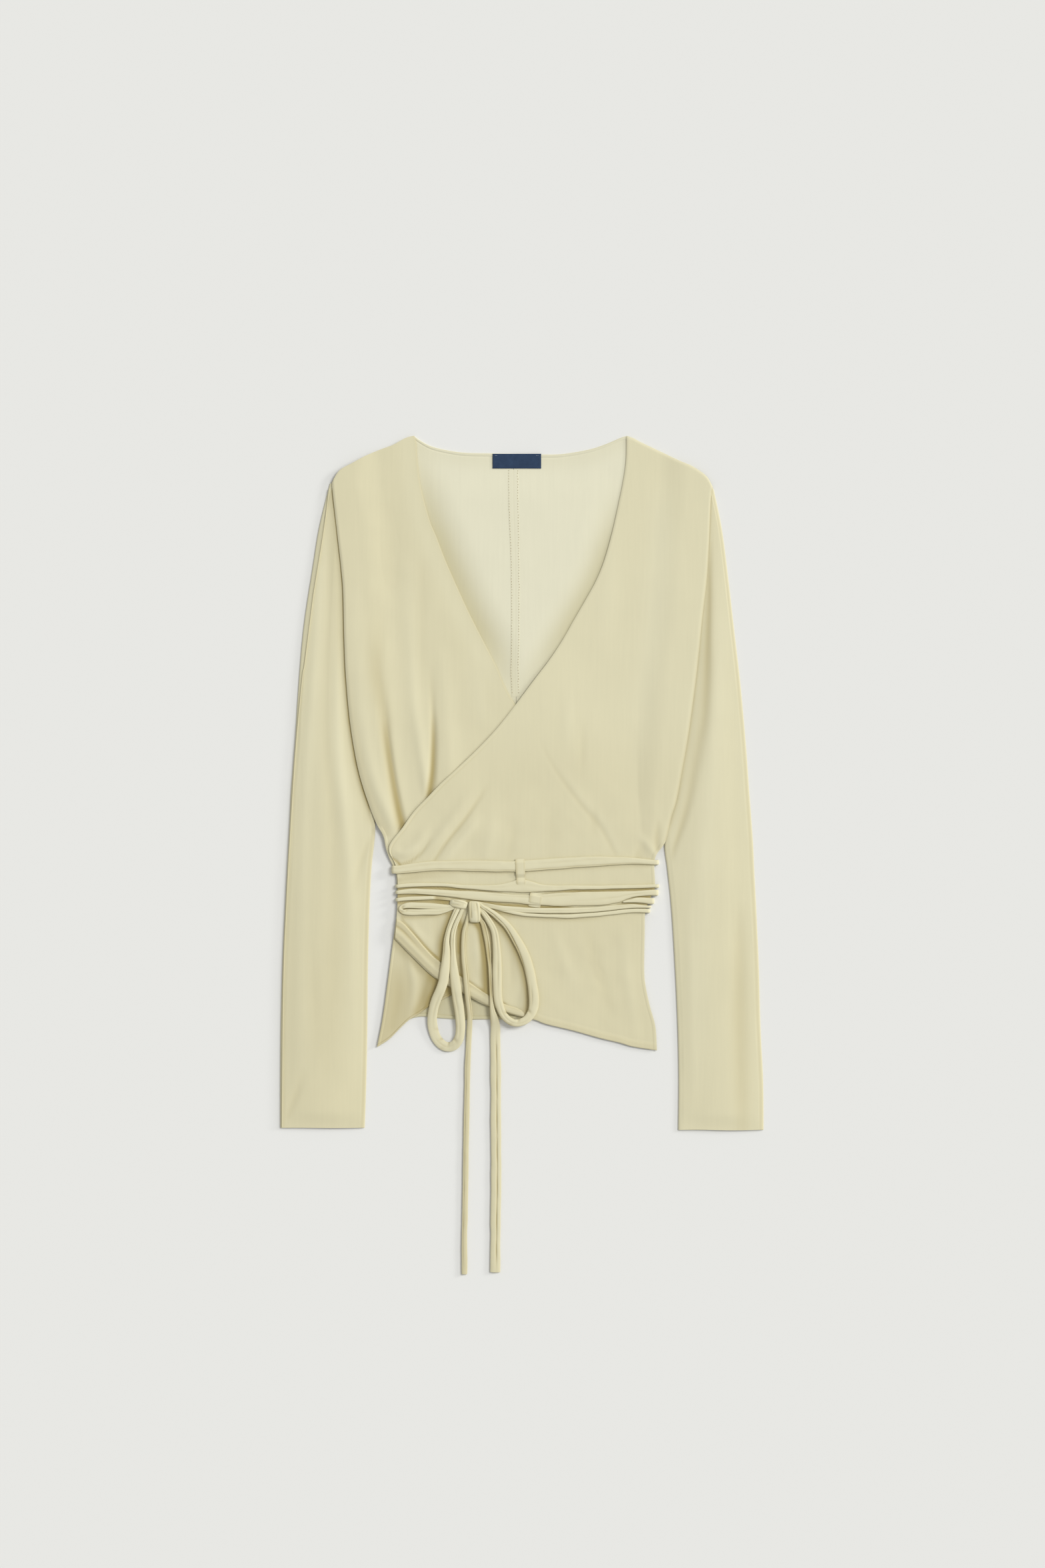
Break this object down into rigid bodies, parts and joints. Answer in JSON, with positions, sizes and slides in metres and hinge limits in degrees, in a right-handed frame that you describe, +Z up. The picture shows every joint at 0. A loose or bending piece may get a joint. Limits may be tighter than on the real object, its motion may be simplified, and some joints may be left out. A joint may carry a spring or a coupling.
{
  "type": "wrap top",
  "caption": "Fine-jersey wrap top with long sleeves, laid flat, its long waist ties wound round and tied in a bow at the front.",
  "frame": {"origin": "on the surface the top lies on, under the middle of the garment, the free bow loops and tie ends left out", "axes": "+Z up off the surface, +Y towards the neck, +X towards the viewer's right, which is the wearer's left side"},
  "size_m": [0.453, 0.7855, 0.0094],
  "materials": {
    "jersey": "matte",
    "jersey_inside": "matte",
    "woven_label": "matte"
  },
  "bodies": {
    "root": {"back_left": "jersey_inside", "back_right": "jersey_inside", "front_left": "jersey", "front_right": "jersey", "sleeve_left": "jersey", "sleeve_right": "jersey", "front_edge_band": "jersey", "tie_upper": "jersey", "tie_middle": "jersey", "tie_lower": "jersey", "tie_split": "jersey", "tie_right_upper": "jersey", "tie_right_lower": "jersey", "tie_left": "jersey", "tie_turn": "jersey", "belt_loop_upper": "jersey", "belt_loop_lower": "jersey", "knot_wrap": "jersey", "knot_band": "jersey", "bow_loop_left": "jersey", "bow_loop_right": "jersey", "tie_end_left": "jersey", "tie_end_right": "jersey", "neck_label": "woven_label"}
  },
  "joints": []
}
